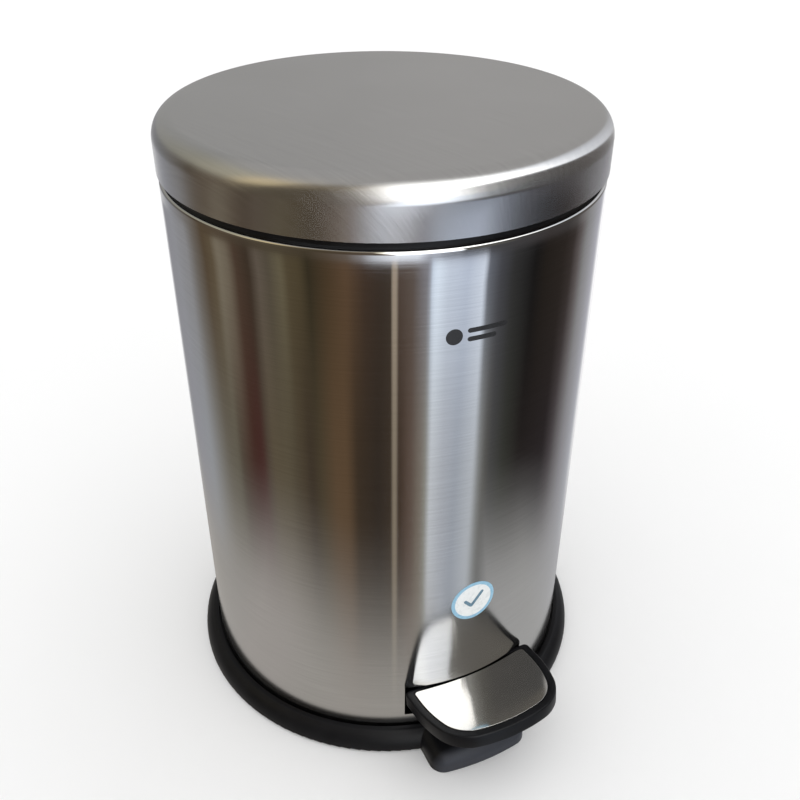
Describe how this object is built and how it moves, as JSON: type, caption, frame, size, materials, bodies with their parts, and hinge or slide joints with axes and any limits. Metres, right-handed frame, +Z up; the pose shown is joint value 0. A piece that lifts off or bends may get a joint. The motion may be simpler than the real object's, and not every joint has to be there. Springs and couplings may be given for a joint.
{
  "type": "pedal trash can",
  "caption": "Round brushed-steel pedal bin with a hinged lid, black plastic base ring and foot, step pedal, lift rod and a lift-out inner bucket with a wire bail.",
  "frame": {"origin": "on the can's axis at floor level, at the centre of the underside's flat rubber ring", "axes": "+Z up along the can's axis; -Y is the front, where the pedal is; +Y is the rear, where the lid's hinge is; +X is to the right seen from the front"},
  "size_m": [0.2726, 0.3231, 0.3835],
  "materials": {
    "body_steel": "horizontally brushed, satin",
    "lid_steel": "straight-line brushed, satin",
    "pedal_steel": "finely brushed, nearly mirror",
    "black_plastic": "fine-grained, satin",
    "collar_plastic": "smooth satin",
    "pedal_plastic": "fine-grained, satin",
    "foot_rubber": "matt rubber",
    "zinc_steel": "zinc-plated pressing",
    "bright_steel": "bright drawn wire",
    "screw_steel": "zinc-plated",
    "guide_nylon": "natural nylon",
    "liner_plastic": "moulded, satin",
    "arm_black": "black powder coat",
    "bucket_plastic": "moulded polypropylene",
    "label_film": "smooth printed film",
    "grip_plastic": "moulded, smooth"
  },
  "bodies": {
    "can": {"outer_shell": "body_steel", "base_ring": "black_plastic", "non_slip_ring": "foot_rubber", "top_collar": "collar_plastic", "axle_bracket": "zinc_steel", "bracket_screws": "screw_steel", "pedal_axle": "bright_steel", "axle_clips": "bright_steel", "lever_stop": "foot_rubber", "rod_guides": "guide_nylon", "hinge_housing": "black_plastic", "backing_plate": "zinc_steel", "hinge_screws": "screw_steel", "hinge_pin": "bright_steel", "pin_caps": "bright_steel", "front_label": "label_film"},
    "lid": {"lid_shell": "lid_steel", "lid_liner": "liner_plastic", "lid_bumpers": "foot_rubber", "hinge_arm": "arm_black", "lid_screws": "screw_steel"},
    "pedal": {"pedal_shell": "pedal_plastic", "pedal_plate": "pedal_steel", "pedal_lever": "zinc_steel", "lever_bushes": "guide_nylon", "pedal_screws": "screw_steel"},
    "lift_rod": {"lift_rod": "bright_steel", "rod_clips": "bright_steel"},
    "bucket": {"inner_bucket": "bucket_plastic"},
    "bail": {"bail_wire": "bright_steel", "bail_grip": "grip_plastic"}
  },
  "joints": [
    {"name": "lid_hinge", "type": "hinge", "parent": "can", "child": "lid", "pos_m": [0, 0.1317, 0.343], "axis": [-1, 0, 0], "range_deg": [0, 80]},
    {"name": "pedal_hinge", "type": "hinge", "parent": "can", "child": "pedal", "pos_m": [0, -0.042, 0.033], "axis": [1, 0, 0], "range_deg": [0, 8.3]},
    {"name": "rod_slide", "type": "slide", "parent": "can", "child": "lift_rod", "axis": [0, 0, 1], "range_m": [0, 0.02321]},
    {"name": "bucket_lift", "type": "slide", "parent": "can", "child": "bucket", "axis": [0, 0, 1], "range_m": [0, 0.008]},
    {"name": "bail_hinge", "type": "hinge", "parent": "bucket", "child": "bail", "pos_m": [0, 0, 0.348], "axis": [-1, 0, 0], "range_deg": [0, 4]}
  ],
  "couplings": [
    {"joint": "pedal_hinge", "follows": "lid_hinge", "ratio": 0.10367},
    {"joint": "rod_slide", "follows": "lid_hinge", "m_per_rad": 0.016616}
  ]
}
